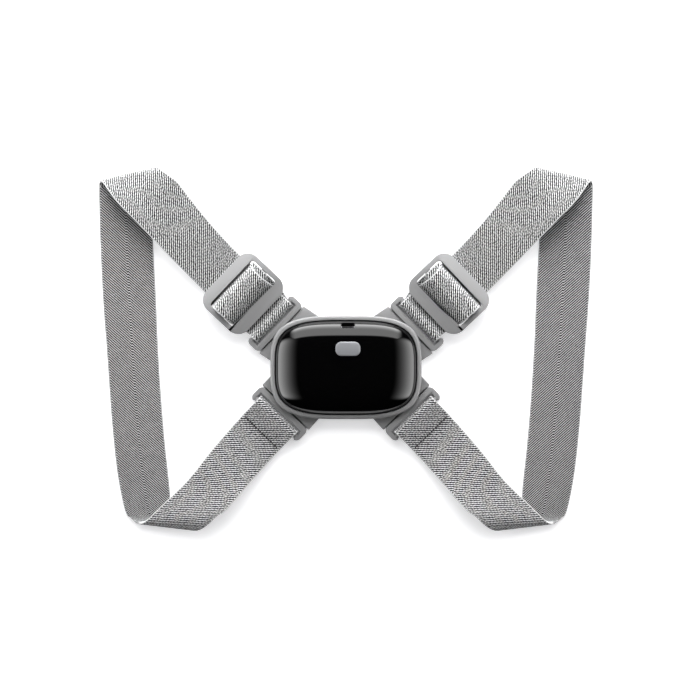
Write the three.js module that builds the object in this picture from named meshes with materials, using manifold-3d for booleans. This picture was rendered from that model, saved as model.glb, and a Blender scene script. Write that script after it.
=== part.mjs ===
// A posture corrector lying on a table: a sensor pod in a four-armed frame, with one elastic
// shoulder loop on each side. Millimetres, +Z up. The origin is on the table, at the centre of
// the frame's flat back. +X is the wearer's right seen from behind and +Y points to the head.
import * as THREE from "three";
import { mergeVertices } from "three/addons/utils/BufferGeometryUtils.js";
import Module from "manifold-3d";

const wasm = await Module();
wasm.setup();

// Gaps
const clearance = 0.3; // between pieces that touch
const buttonClearance = 0.25; // round the button, in its pocket

// Pod
const podLength = 86.6;
const podWidth = 57.4;
const podCrown = 17.5; // height of the top above the table
const podShoulder = 8.2; // height where the dome starts
const planPower = 3.4; // how square the pod's outline is
const domePower = 3.4; // how flat the dome's top is
const podFoot = 0.6; // chamfer at the pod's lower edge

// Button and charging port
const controlShift = 1.2; // of the button and the port, from the pod's middle line
const buttonLength = 15.1;
const buttonWidth = 8.8;
const buttonRadius = 3.7;
const buttonOffset = 11.3; // from the pod's centre towards the head
const buttonProud = 0.4; // above the pod's crown
const buttonHeight = 2.1;
const buttonTravel = 0.8;
const portLength = 8.7;
const portHeight = 2.6;
const portDepth = 9; // from the pod's upper edge inwards
const portLevel = 13.2; // height of the port's middle
const portCorner = 0.65;
const socketWall = 0.4;
const socketLength = 5;
const socketCorner = 0.43;
const socketBoreCorner = 0.22;
const tongueLength = 4;
const tongueThickness = 0.3;
const tongueCorner = 0.08;

// Frame
const backThickness = 2.2;
const rimWall = 2.6;
const rimHeight = 9.5;
const rimEdge = 0.8; // rounding of the rim's edges
const webHeight = 4.2;
const lipHeight = 5.2;
const lipWidth = 3.5; // inboard of the slot
const softEdge = 0.5; // rounding of the arms' edges
const slotWidth = 3;
const slotSide = 1.35; // from the strap's edge to the slot's end
const earWidth = 2.8; // beyond the slot's end
const earRadius = 3;
const earReach = 0.8; // beyond the outer bar
const barDiameter = 3; // outer bar that the strap wraps

// Where each left arm leaves the rim: angles on the oval outline in degrees from +X.
// root: where the arm's axis leaves it; heading: the way the arm points; from, to: where the
// arm's two edges meet the rim; side: 1 where the strap's left edge is on the left of the
// heading, else -1; length: from the rim to the slot, in millimetres.
const arms = {
  upper: { root: 149.5, heading: 136.5, from: 116, to: 176, side: 1, length: 3 },
  lower: { root: 213.8, heading: 226, from: 185, to: 243, side: -1, length: 2.5 },
};

// Slider
const sliderDistance = 28.2; // from the upper slot to the slider's centre
const sliderUnderside = 5.3; // height of its long edges above the table
const sliderThickness = 2.4;
const sliderRise = 2; // of its arch
const sliderBar = 7.4; // width of each long bar
const sliderEnd = 3.15; // width of each end bar
const sliderRadius = 8.3;
const windowWidth = 20.2;
const windowSide = 3.3; // from the strap's edge to the window's end
const sliderShift = 0.1; // towards the strap's left edge
const windowRadius = 2.4;
const centreBarWidth = 4;
const centreBarThickness = 2;
const centreBarDrop = 0.6; // below the arch's middle

// Straps
const strapWidth = 31.5;
const strapThickness = 1.6;
const loopReach = 152.5; // from the centre to the loop's outermost edge
const loopHeight = 225; // of the loop, from the lower bend to the upper one
// radius of the roll at each edge; as shares of it, the sideways travel and half the height
const upperBend = { tight: 3, wide: 6, slide: 0.72, lift: 0.7 };
const lowerBend = { tight: 5, wide: 8.6, slide: 1.6, lift: 0.45 };
const tailLength = 20; // sewn tail, from the lower slot
const sewnShift = 2.7; // sewn end, sideways on the centre bar
const wrapReach = 5.7; // from the centre bar's middle to the middle of the sewn end's turn
const humpFlare = 3; // how far the hump spreads beyond the strap's left edge
const humpDraw = 0.9; // how far it draws in at the right edge
const underNearBar = 4; // height of the strap's middle beneath the slider's long edges

// Sewn end on the centre bar. along: share of the window's half width from the bar;
// rise: share of the way from the wrap's lower layer to its upper one.
const tailRows = [
  { along: -0.7, rise: -0.25 },
  { along: -0.5, rise: 0.25 },
  { along: -0.3, rise: 0.8 },
  { along: -0.11, rise: 1 },
];

// Lower layer, from the centre bar towards the pod. rise: share of the way from the table
// layer up to the wrap.
const lowerRows = [
  { along: -0.24, rise: 0.94 },
  { along: -0.58, rise: 0.44 },
  { along: -0.91, rise: 0.06 },
  { along: -1.35, rise: 0 },
];

// Hump over the centre bar. along: share of the window's half width; rise: share of the hump's
// height; flare, draw: shares of the hump's at the strap's left and right edge.
const humpRows = [
  { along: -1.69, rise: 0, flare: 0, draw: 0 },
  { along: -1.25, rise: 0.04, flare: 0.1, draw: 0 },
  { along: -0.97, rise: 0.13, flare: 0.45, draw: -0.2 },
  { along: -0.6, rise: 0.66, flare: 0.95, draw: 0.5 },
  { along: -0.24, rise: 0.98, flare: 1, draw: 1 },
  { along: 0.1, rise: 1, flare: 1, draw: 1 },
  { along: 0.42, rise: 1, flare: 1, draw: 0.8 },
  { along: 0.6, rise: 0.88, flare: 0.96, draw: 0.3 },
  { along: 0.76, rise: 0.55, flare: 0.85, draw: -0.2 },
  { along: 0.86, rise: 0.3, flare: 0.7, draw: -0.5 },
  { along: 0.97, rise: 0.13, flare: 0.45, draw: -0.5 },
  { along: 1.25, rise: 0.04, flare: 0.1, draw: -0.2 },
  { along: 1.69, rise: 0, flare: 0, draw: 0 },
];

// The free run of the left loop. x, y: the strap's middle, as shares of loopReach and
// loopHeight; wide: length across as a share of strapWidth; turn: the way across, in degrees;
// left, right: each edge's height as a share of the bend's there.
const topRun = [
  { x: -0.6212, y: 0.3435, wide: 1.02, turn: 43.5, left: 1.65, right: 0.75 },
  { x: -0.748, y: 0.4425, wide: 1.104, turn: 42, left: 2.15, right: 0.95 },
  { x: -0.7996, y: 0.4794, wide: 1.232, turn: 18.7, left: 1.9, right: 1.05 },
];
const topFold = { x: -0.877, y: 0.525, wide: 1.123, turn: 13.1, crease: 23.4 };
const sideRun = [
  { x: -0.8845, y: 0.362, wide: 1.03, turn: 1 },
  { x: -0.873, y: 0.2, wide: 1.035, turn: 2 },
  { x: -0.86, y: 0.0475, wide: 1, turn: 3 },
  { x: -0.837, y: -0.171, wide: 0.99, turn: 4 },
  { x: -0.8145, y: -0.308, wide: 0.976, turn: 2 },
];
const bottomFold = { x: -0.718, y: -0.433, wide: 1.1, turn: -6.6, crease: 0 };
const bottomRun = [
  { x: -0.609, y: -0.381, wide: 1.18, turn: -7.6, left: 1, right: 1 },
  { x: -0.536, y: -0.331, wide: 1.03, turn: -18.8, left: 0.9, right: 0.85 },
  { x: -0.467, y: -0.273, wide: 0.985, turn: -43.6, left: 0.75, right: 0.6 },
];

// Fineness of the round surfaces
const planSteps = 64;
const domeSteps = 8;
const cornerSteps = 2;
const barSteps = 6;
const edgeSteps = 1;
const turnSteps = 8;
const samplesPerRow = 2;
const strapColumns = 3;
const weld = 1e-4; // points nearer than this are one
const spareReach = 1.2; // the slider's arch is cut from a longer one
const tangentStep = 0.25; // of a sample, for the strap's direction
const cutHeight = 2 * podCrown; // past every piece, for what is cut through them

const degrees = THREE.MathUtils.degToRad;

// Solids

function solidOf(geometry) {
  const bare = geometry.clone();
  bare.deleteAttribute("normal");
  bare.deleteAttribute("uv");
  const merged = mergeVertices(bare, weld);
  return new wasm.Manifold(
    new wasm.Mesh({
      numProp: 3,
      vertProperties: merged.attributes.position.array,
      triVerts: new Uint32Array(merged.index.array),
    }),
  );
}

function geometryOf(solid) {
  const mesh = solid.getMesh();
  const geometry = new THREE.BufferGeometry();
  geometry.setAttribute("position", new THREE.BufferAttribute(mesh.vertProperties, 3));
  geometry.setIndex(new THREE.BufferAttribute(mesh.triVerts, 1));
  geometry.computeVertexNormals();
  return geometry;
}

// A prism of a flat shape between two heights, with its edges rounded inwards.
function prism(shape, bottom, top, edge = 0, steps = cornerSteps) {
  return new THREE.ExtrudeGeometry(shape, {
    depth: top - bottom - 2 * edge,
    bevelEnabled: edge > 0,
    bevelThickness: edge,
    bevelSize: edge,
    bevelOffset: -edge,
    bevelSegments: edgeSteps,
    curveSegments: steps,
  }).translate(0, 0, bottom + edge);
}

// A bar of a section drawn in (outward, up), lying across the arm and centred on it.
function crossBar(section, length) {
  return new THREE.ExtrudeGeometry(section, {
    depth: length,
    bevelEnabled: false,
    curveSegments: barSteps,
  })
    .translate(0, 0, -length / 2)
    .rotateX(Math.PI / 2);
}

function roundedRectangle(length, width, radius) {
  const x = length / 2 - radius;
  const y = width / 2 - radius;
  const quarter = Math.PI / 2;
  const shape = new THREE.Shape();
  shape.absarc(x, y, radius, 0, quarter);
  shape.absarc(-x, y, radius, quarter, 2 * quarter);
  shape.absarc(-x, -y, radius, 2 * quarter, 3 * quarter);
  shape.absarc(x, -y, radius, 3 * quarter, 4 * quarter);
  shape.closePath();
  return shape;
}

// The pod's oval outline, grown outwards by an amount.
function ovalPoint(angle, growth) {
  const x = Math.abs(Math.cos(angle)) / (podLength / 2 + growth);
  const y = Math.abs(Math.sin(angle)) / (podWidth / 2 + growth);
  const radius = (x ** planPower + y ** planPower) ** (-1 / planPower);
  return new THREE.Vector2(Math.cos(angle) * radius, Math.sin(angle) * radius);
}

function ovalPoints(growth) {
  return Array.from({ length: planSteps }, (_, i) =>
    ovalPoint((2 * Math.PI * i) / planSteps, growth),
  );
}

// Places: a point on the table with a heading.

const rimGrowth = clearance + rimWall;

function armPlace(arm) {
  const heading = degrees(arm.heading);
  const root = ovalPoint(degrees(arm.root), rimGrowth);
  return {
    x: root.x + arm.length * Math.cos(heading),
    y: root.y + arm.length * Math.sin(heading),
    heading,
    side: arm.side,
  };
}

function furtherOut(place, distance) {
  return {
    ...place,
    x: place.x + distance * Math.cos(place.heading),
    y: place.y + distance * Math.sin(place.heading),
  };
}

function mirrored(place) {
  return { ...place, x: -place.x, heading: Math.PI - place.heading, side: -place.side };
}

function putAt(place, geometry) {
  return geometry.rotateZ(place.heading).translate(place.x, place.y, 0);
}

const upperSlot = armPlace(arms.upper);
const lowerSlot = armPlace(arms.lower);
const sliderPlace = furtherOut(upperSlot, sliderDistance);

// Frame

const barRadius = barDiameter / 2;
const barAlong = slotWidth + barRadius;
const barLevel = lipHeight - barRadius;
const slotLength = strapWidth + 2 * slotSide;
const loopWidth = slotLength + 2 * earWidth;
const loopOuter = slotWidth + barDiameter + earReach;

function armWeb(arm, place) {
  const corner = loopWidth / 2 - softEdge;
  const forward = new THREE.Vector2(Math.cos(place.heading), Math.sin(place.heading));
  const sideways = new THREE.Vector2(-forward.y, forward.x);
  const inboard = new THREE.Vector2(place.x, place.y).addScaledVector(forward, -lipWidth / 2);
  const one = inboard.clone().addScaledVector(sideways, -corner);
  const other = inboard.clone().addScaledVector(sideways, corner);
  const first = ovalPoint(degrees(arm.from), rimGrowth - rimEdge);
  const last = ovalPoint(degrees(arm.to), rimGrowth - rimEdge);
  const [start, end] = place.side > 0 ? [one, other] : [other, one];
  const path = arm.side > 0 ? [first, start, end, last] : [first, end, start, last];
  return new THREE.Shape([new THREE.Vector2(0, 0), ...path]);
}

function armEnd(place) {
  const length = lipWidth + loopOuter;
  const middle = loopOuter - length / 2;
  const outline = roundedRectangle(length, loopWidth, earRadius);
  const block = prism(outline, 0, lipHeight, softEdge).translate(middle, 0, 0);
  const cutLength = loopOuter + earRadius;
  const cut = new THREE.BoxGeometry(cutLength, slotLength, cutHeight);
  const section = new THREE.Shape().absarc(barAlong, barLevel, barRadius, 0, 2 * Math.PI);
  const bar = crossBar(section, slotLength + earWidth);
  const ears = solidOf(putAt(place, block)).subtract(
    solidOf(putAt(place, cut.translate(cutLength / 2, 0, 0))),
  );
  return ears.add(solidOf(putAt(place, bar)));
}

function frameGeometry() {
  const outer = ovalPoints(rimGrowth);
  const inner = ovalPoints(clearance);
  const ring = new THREE.Shape(outer);
  ring.holes.push(new THREE.Path(inner));
  let frame = solidOf(prism(new THREE.Shape(outer), 0, backThickness, softEdge));
  frame = frame.add(solidOf(prism(ring, 0, rimHeight, rimEdge)));
  const arm = [arms.upper, arms.lower];
  const place = [upperSlot, lowerSlot];
  for (const [i, one] of arm.entries()) {
    const web = armWeb(one, place[i]);
    const other = new THREE.Shape(web.getPoints().map((p) => new THREE.Vector2(-p.x, p.y)));
    for (const shape of [web, other]) {
      frame = frame.add(solidOf(prism(shape, 0, webHeight, softEdge)));
    }
    for (const end of [place[i], mirrored(place[i])]) {
      frame = frame.add(armEnd(end));
    }
  }
  const cavity = prism(new THREE.Shape(inner), backThickness, cutHeight);
  return geometryOf(frame.subtract(solidOf(cavity)));
}

// Pod

const podBase = backThickness + clearance;
const buttonTop = podCrown + buttonProud;
const pocketFloor = buttonTop - buttonHeight - buttonTravel - clearance;
const portInner = podWidth / 2 - portDepth;

function inPort(geometry) {
  return geometry.rotateX(Math.PI / 2).translate(controlShift, 0, portLevel);
}

// A turned shell of unit radius, each ring then drawn out to the oval outline.
function podGeometry() {
  const profile = [
    new THREE.Vector2(0, podBase),
    new THREE.Vector2(1 - podFoot / (podWidth / 2), podBase),
    new THREE.Vector2(1, podBase + podFoot),
  ];
  for (let i = domeSteps; i >= 0; i -= 1) {
    const angle = (i / domeSteps) * (Math.PI / 2);
    const share = Math.sin(angle) ** (2 / domePower);
    const height = podShoulder + (podCrown - podShoulder) * Math.cos(angle);
    profile.push(new THREE.Vector2(share, height));
  }
  const turned = new THREE.LatheGeometry(profile, planSteps).rotateX(Math.PI / 2);
  const position = turned.attributes.position;
  for (let i = 0; i < position.count; i += 1) {
    const x = position.getX(i);
    const y = position.getY(i);
    const edge = ovalPoint(Math.atan2(y, x), 0).multiplyScalar(Math.hypot(x, y));
    position.setXY(i, edge.x, edge.y);
  }
  const pocketShape = roundedRectangle(
    buttonLength + 2 * buttonClearance,
    buttonWidth + 2 * buttonClearance,
    buttonRadius + buttonClearance,
  );
  const pocket = prism(pocketShape, pocketFloor, cutHeight);
  pocket.translate(controlShift, buttonOffset, 0);
  const portShape = roundedRectangle(portLength, portHeight, portCorner);
  const port = inPort(prism(portShape, -podWidth, -portInner));
  return geometryOf(solidOf(turned).subtract(solidOf(pocket)).subtract(solidOf(port)));
}

function buttonGeometry() {
  const shape = roundedRectangle(buttonLength, buttonWidth, buttonRadius);
  const body = prism(shape, buttonTop - buttonHeight, buttonTop, softEdge);
  return body.translate(controlShift, buttonOffset, 0);
}

// A socket open towards the pod's edge, with a tongue inside.
function socketGeometry() {
  const length = portLength - 2 * clearance;
  const height = portHeight - 2 * clearance;
  const back = -portInner - clearance;
  const front = back - socketLength;
  const shell = prism(roundedRectangle(length, height, socketCorner), front, back);
  const boreLength = length - 2 * socketWall;
  const boreHeight = height - 2 * socketWall;
  const bore = roundedRectangle(boreLength, boreHeight, socketBoreCorner);
  const hollow = prism(bore, front - socketWall, back - socketWall);
  const tongueShape = roundedRectangle(tongueLength, tongueThickness, tongueCorner);
  const tongue = prism(tongueShape, front + socketWall, back - socketWall / 2);
  const socket = solidOf(shell).subtract(solidOf(hollow)).add(solidOf(tongue));
  return inPort(geometryOf(socket));
}

// Slider

const sliderLength = strapWidth + 2 * (windowSide + sliderEnd);
const sliderWidth = windowWidth + 2 * sliderBar;
const halfWindow = windowWidth / 2;
const archRadius = ((sliderWidth / 2) ** 2 + sliderRise ** 2) / (2 * sliderRise);
const archCentre = sliderUnderside + sliderRise - archRadius;
const centreBarLevel = sliderUnderside + sliderRise + sliderThickness / 2 - centreBarDrop;

function sliderGeometry(place) {
  const reach = Math.asin(sliderWidth / 2 / archRadius) * spareReach;
  const up = Math.PI / 2;
  const arch = new THREE.Shape();
  arch.absarc(0, archCentre, archRadius + sliderThickness, up - reach, up + reach);
  arch.absarc(0, archCentre, archRadius, up + reach, up - reach, true);
  arch.closePath();
  const slab = crossBar(arch, 2 * sliderLength);
  const plan = roundedRectangle(sliderWidth, sliderLength, sliderRadius);
  const outline = prism(plan, 0, podCrown, 0, 2 * cornerSteps);
  const hole = roundedRectangle(windowWidth, sliderLength - 2 * sliderEnd, windowRadius);
  const shift = sliderShift * place.side;
  const window = prism(hole, -cutHeight, cutHeight);
  const barEnd = centreBarThickness / 2;
  const reachOut = centreBarWidth / 2 - barEnd;
  const section = new THREE.Shape();
  section.absarc(reachOut, centreBarLevel, barEnd, -up, up);
  section.absarc(-reachOut, centreBarLevel, barEnd, up, 3 * up);
  section.closePath();
  const bar = crossBar(section, sliderLength - sliderEnd);
  const solid = solidOf(slab)
    .intersect(solidOf(outline))
    .subtract(solidOf(window))
    .add(solidOf(bar));
  return putAt(place, geometryOf(solid).translate(0, shift, 0));
}

// Straps: rows of a left and a right edge point, joined by smooth curves.

const halfThickness = strapThickness / 2;
const halfWidth = strapWidth / 2;
const tableLayer = clearance + halfThickness;
const wrapRadius = centreBarThickness / 2 + clearance + halfThickness;
const turnRadius = barRadius + clearance + halfThickness;
const wrapLow = centreBarLevel - wrapRadius;
const wrapHigh = centreBarLevel + wrapRadius;
const humpTop = wrapHigh + strapThickness + clearance;

function rowAt(place, along, height, left = halfWidth, right = halfWidth) {
  const forward = new THREE.Vector3(Math.cos(place.heading), Math.sin(place.heading), 0);
  const sideways = new THREE.Vector3(-forward.y, forward.x, 0).multiplyScalar(place.side);
  const centre = new THREE.Vector3(place.x, place.y, height).addScaledVector(forward, along);
  return {
    left: centre.clone().addScaledVector(sideways, left),
    right: centre.clone().addScaledVector(sideways, -right),
  };
}

// Rows round a bar, between two angles seen from the side with 0 degrees outward.
function turnRows(place, along, height, radius, from, to, shift = 0) {
  const rows = [];
  for (let i = 0; i <= turnSteps; i += 1) {
    const angle = degrees(from + ((to - from) * i) / turnSteps);
    const out = along + radius * Math.cos(angle);
    const level = height + radius * Math.sin(angle);
    rows.push(rowAt(place, out, level, halfWidth - shift, halfWidth + shift));
  }
  return rows;
}

function sewnEndRows() {
  const left = halfWidth - sewnShift;
  const right = halfWidth + sewnShift;
  const span = (row, low, high) =>
    rowAt(sliderPlace, row.along * halfWindow, low + row.rise * (high - low), left, right);
  return [
    ...tailRows.map((row) => span(row, wrapLow, wrapHigh)),
    ...turnRows(sliderPlace, wrapReach, centreBarLevel, wrapRadius, 90, -90, sewnShift),
    ...lowerRows.map((row) => span(row, tableLayer, wrapLow)),
  ];
}

function upperSlotRows() {
  return turnRows(upperSlot, barAlong, barLevel, turnRadius, 270, 80);
}

function humpRowsAt() {
  return humpRows.map((row) =>
    rowAt(
      sliderPlace,
      row.along * halfWindow,
      underNearBar + row.rise * (humpTop - underNearBar),
      halfWidth + row.flare * humpFlare,
      halfWidth - row.draw * humpDraw,
    ),
  );
}

// A row of the free run, with each edge at its own height.
function freeRow(row, leftHeight, rightHeight) {
  const turn = degrees(row.turn);
  const half = (row.wide * strapWidth) / 2;
  const across = new THREE.Vector3(Math.cos(turn) * half, Math.sin(turn) * half, 0);
  const centre = new THREE.Vector3(row.x * loopReach, row.y * loopHeight, halfThickness);
  return {
    left: centre.clone().sub(across).setZ(halfThickness + leftHeight),
    right: centre.clone().add(across).setZ(halfThickness + rightHeight),
  };
}

function raisedRows(rows, bend) {
  const tight = 2 * bend.lift * bend.tight;
  const wide = 2 * bend.lift * bend.wide;
  return rows.map((row) => freeRow(row, tight * row.left, wide * row.right));
}

// A turn that rolls the strap over: each edge has its own radius and slides along the crease
// while it turns. outward is 90 for a roll to the crease's left, -90 to its right. The angles
// run from one side of the crest, which is at 0 degrees, to the other.
function rollRows(fold, bend, outward, from, to) {
  const crease = degrees(fold.crease);
  const away = degrees(fold.crease + outward);
  const along = new THREE.Vector3(Math.cos(crease), Math.sin(crease), 0);
  const out = new THREE.Vector3(Math.cos(away), Math.sin(away), 0);
  const furthest = freeRow(fold, 0, 0);
  const edge = (point, radius, angle) =>
    point
      .clone()
      .addScaledVector(out, radius * (Math.cos(angle) - 1))
      .addScaledVector(along, (bend.slide * radius * angle) / (Math.PI / 2))
      .setZ(halfThickness + bend.lift * radius * (1 + Math.sin(angle)));
  const rows = [];
  for (let i = 0; i <= turnSteps; i += 1) {
    const share = (2 * i) / turnSteps - 1; // -1 to 1, with the crest at 0
    const angle = degrees(share < 0 ? -share * from : share * to);
    rows.push({
      left: edge(furthest.left, bend.tight, angle),
      right: edge(furthest.right, bend.wide, angle),
    });
  }
  return rows;
}

function lowerSlotRows() {
  const landing = tableLayer + strapThickness + clearance;
  return [
    rowAt(lowerSlot, tailLength, landing),
    rowAt(lowerSlot, (tailLength + barAlong) / 2, (landing + barLevel + turnRadius) / 2),
    ...turnRows(lowerSlot, barAlong, barLevel, turnRadius, 90, 270),
    rowAt(lowerSlot, (tailLength + barAlong) / 2, tableLayer),
    rowAt(lowerSlot, tailLength, tableLayer),
  ];
}

const leftRows = [
  ...sewnEndRows(),
  ...upperSlotRows(),
  ...humpRowsAt(),
  ...raisedRows(topRun, upperBend),
  ...rollRows(topFold, upperBend, 90, 60, -90),
  ...sideRun.map((row) => freeRow(row, 0, 0)),
  ...rollRows(bottomFold, lowerBend, -90, -90, 90),
  ...raisedRows(bottomRun, lowerBend),
  ...lowerSlotRows(),
];

// A box of unit size, carried along the rows: x goes across, y through, z along the strap.
function strapGeometry(flip) {
  const turned = (point) => new THREE.Vector3(point.x * flip, point.y, point.z);
  const left = new THREE.CatmullRomCurve3(leftRows.map((row) => turned(row.left)));
  const right = new THREE.CatmullRomCurve3(leftRows.map((row) => turned(row.right)));
  const steps = samplesPerRow * (leftRows.length - 1);
  const box = new THREE.BoxGeometry(1, 1, 1, strapColumns, 1, steps);
  const position = box.attributes.position;
  const step = tangentStep / steps;
  const resting = (curve, share) => {
    const point = curve.getPoint(share);
    return point.setZ(Math.max(point.z, halfThickness));
  };
  const middle = (share) => resting(left, share).add(resting(right, share)).multiplyScalar(0.5);
  for (let i = 0; i < position.count; i += 1) {
    const share = Math.min(1, Math.max(0, position.getZ(i) + 0.5));
    const from = resting(left, share);
    const across = resting(right, share).sub(from);
    const ahead = middle(Math.min(1, share + step)).sub(middle(Math.max(0, share - step)));
    const normal = ahead.clone().cross(across).normalize();
    const point = from
      .addScaledVector(across, position.getX(i) + 0.5)
      .addScaledVector(normal, position.getY(i) * strapThickness);
    position.setXYZ(i, point.x, point.y, point.z);
  }
  return geometryOf(solidOf(box));
}

// Materials

const frameGrey = new THREE.MeshStandardMaterial({ color: 0x9a9a9a, roughness: 0.55, metalness: 0 });
const sliderGrey = new THREE.MeshStandardMaterial({ color: 0xa6a6a6, roughness: 0.5, metalness: 0 });
const strapGrey = new THREE.MeshStandardMaterial({ color: 0x8f8f8f, roughness: 0.95, metalness: 0 });
const podBlack = new THREE.MeshStandardMaterial({ color: 0x050505, roughness: 0.06, metalness: 0 });
const buttonGrey = new THREE.MeshStandardMaterial({ color: 0x9c9ea1, roughness: 0.4, metalness: 0 });
const socketSteel = new THREE.MeshStandardMaterial({ color: 0x8a8c90, roughness: 0.3, metalness: 1 });

// Assembly

const corrector = new THREE.Group();

function addPiece(name, geometry, material) {
  const mesh = new THREE.Mesh(geometry, material);
  mesh.name = name;
  corrector.add(mesh);
}

addPiece("frame", frameGeometry(), frameGrey);
addPiece("pod_shell", podGeometry(), podBlack);
addPiece("button", buttonGeometry(), buttonGrey);
addPiece("charging_socket", socketGeometry(), socketSteel);
addPiece("slider_left", sliderGeometry(sliderPlace), sliderGrey);
addPiece("slider_right", sliderGeometry(mirrored(sliderPlace)), sliderGrey);
addPiece("strap_left", strapGeometry(1), strapGrey);
addPiece("strap_right", strapGeometry(-1), strapGrey);

export default corrector;
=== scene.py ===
"""Dresses a packed posture corrector: a sensor pod in a four-armed frame, with two elastic loops.

All lengths are metres. The part lies on the table with its back down, +Y towards the wearer's
head and +X to the wearer's right seen from behind.
"""

import math

import bpy
import numpy as np
from bpy.props import FloatProperty, FloatVectorProperty, PointerProperty
from mathutils import Matrix, Vector


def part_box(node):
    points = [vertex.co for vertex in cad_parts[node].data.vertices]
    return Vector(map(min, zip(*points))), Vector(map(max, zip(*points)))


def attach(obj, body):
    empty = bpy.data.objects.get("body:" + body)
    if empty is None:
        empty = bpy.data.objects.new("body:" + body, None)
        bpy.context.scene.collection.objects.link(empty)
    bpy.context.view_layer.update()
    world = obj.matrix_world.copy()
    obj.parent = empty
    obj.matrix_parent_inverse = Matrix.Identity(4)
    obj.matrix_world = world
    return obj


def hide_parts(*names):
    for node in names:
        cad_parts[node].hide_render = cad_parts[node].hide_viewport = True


bl_info = {
    "name": "Posture corrector",
    "version": (1, 0, 0),
    "blender": (4, 5, 0),
    "location": "View3D > Sidebar > Corrector",
    "description": "Builds the pod, frame, sliders and elastic straps of a posture corrector",
    "category": "Add Mesh",
}

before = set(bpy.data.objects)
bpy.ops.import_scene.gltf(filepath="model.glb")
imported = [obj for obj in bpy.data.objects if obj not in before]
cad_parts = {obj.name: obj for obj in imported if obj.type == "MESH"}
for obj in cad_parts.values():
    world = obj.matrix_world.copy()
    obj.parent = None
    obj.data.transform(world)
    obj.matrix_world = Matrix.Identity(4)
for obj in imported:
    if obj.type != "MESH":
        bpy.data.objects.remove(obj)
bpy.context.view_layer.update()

MM = 0.001
POD_LOW, POD_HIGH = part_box("pod_shell")
BUTTON_LOW, BUTTON_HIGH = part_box("button")
FRAME_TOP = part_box("frame")[1].z
BODY = "corrector"
BUTTON_BODY = "button"
SIDES = ("left", "right")


# Settings


def length(name, millimetres, description):
    """A length that a user may change, given here in millimetres."""
    return FloatProperty(
        name=name,
        description=description,
        default=millimetres * MM,
        unit="LENGTH",
        subtype="DISTANCE",
    )


def colour(name, grey, description):
    """A plain colour that a user may change."""
    return FloatVectorProperty(
        name=name,
        description=description,
        default=grey,
        size=3,
        min=0,
        max=1,
        subtype="COLOR",
    )


class PodSettings(bpy.types.PropertyGroup):
    """The pod, its button and its charging port."""

    shoulder: length("Shoulder", 8.2, "Height where the dome starts")
    foot: length("Foot", 0.6, "Chamfer at the lower edge")
    gap: length("Gap", 0.25, "Clearance round the button")
    button_radius: length("Button radius", 3.7, "Corner radius of the button")
    button_edge: length("Button edge", 0.7, "Rounding of the button's upper edge")
    pocket_depth: length("Pocket depth", 3.2, "Depth of the button's pocket")
    port_length: length("Port length", 8.7, "Width of the charging port")
    port_height: length("Port height", 2.6, "Height of the charging port")
    port_depth: length("Port depth", 9, "Depth of the charging port")
    port_level: length("Port level", 13.2, "Height of the port's middle")
    black: colour("Black", (0.0008, 0.0008, 0.0009), "Colour of the pod")
    button_grey: colour("Button grey", (0.185, 0.19, 0.2), "Colour of the button")


class FrameSettings(bpy.types.PropertyGroup):
    """The moulded frame: oval rim, back plate, arms and strap slots."""

    clearance: length("Clearance", 0.3, "Gap between pieces that touch")
    rim_wall: length("Rim wall", 2.6, "Thickness of the rim")
    rim_edge: length("Rim edge", 0.25, "Rounding of the rim's inner edge")
    rim_slope: length("Rim slope", 1.5, "Width of the rim's outer slope")
    rim_drop: length("Rim drop", 1.1, "Height of the rim's outer slope")
    back_thickness: length("Back thickness", 2.2, "Thickness of the back plate")
    web_height: length("Web height", 4.2, "Height of the arms")
    lip_height: length("Lip height", 5.2, "Height of the raised lip round a slot")
    lip_width: length("Lip width", 3.5, "Width of the lip beside the slot")
    lip_edge: length("Lip edge", 0.8, "Rounding of the lip and the ears")
    web_edge: length("Web edge", 0.5, "Rounding of the arms' edges")
    groove: length("Groove", 0.35, "Gap between the web and the lip")
    slot_width: length("Slot width", 3, "Width of the strap slot")
    slot_side: length("Slot side", 1.35, "From the strap's edge to the slot's end")
    ear_width: length("Ear width", 2.8, "Width of the ears beside the slot")
    ear_radius: length("Ear radius", 3, "Corner radius of the ears")
    ear_reach: length("Ear reach", 0.8, "Ears beyond the outer bar")
    bar_diameter: length("Bar diameter", 3, "Outer bar that the strap wraps")
    grey: colour("Grey", (0.19, 0.19, 0.192), "Colour of the frame")


class SliderSettings(bpy.types.PropertyGroup):
    """The arched strap adjusters."""

    distance: length("Distance", 28.2, "From the upper slot to the slider")
    underside: length("Underside", 5.3, "Height of its long edges")
    thickness: length("Thickness", 2.4, "Thickness of the slider")
    rise: length("Rise", 2, "Rise of its arch")
    bar: length("Long bar", 7.4, "Width of the long bars")
    end: length("End bar", 3.15, "Width of the end bars")
    radius: length("Corner radius", 8.3, "Outer corner radius")
    window_width: length("Window width", 20.2, "Width of the window")
    window_side: length("Window side", 3.3, "From the strap's edge to the window's end")
    window_radius: length("Window radius", 2.4, "Corner radius of the window")
    shift: length("Shift", 0.1, "Towards the strap's left edge")
    edge: length("Edge", 0.75, "Rounding of the edges")
    centre_width: length("Centre bar width", 4, "Width of the centre bar")
    centre_thickness: length("Centre bar thickness", 2, "Thickness of the centre bar")
    centre_drop: length("Centre bar drop", 0.6, "Centre bar below the arch's middle")
    grey: colour("Grey", (0.22, 0.22, 0.222), "Colour of the sliders")


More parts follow.
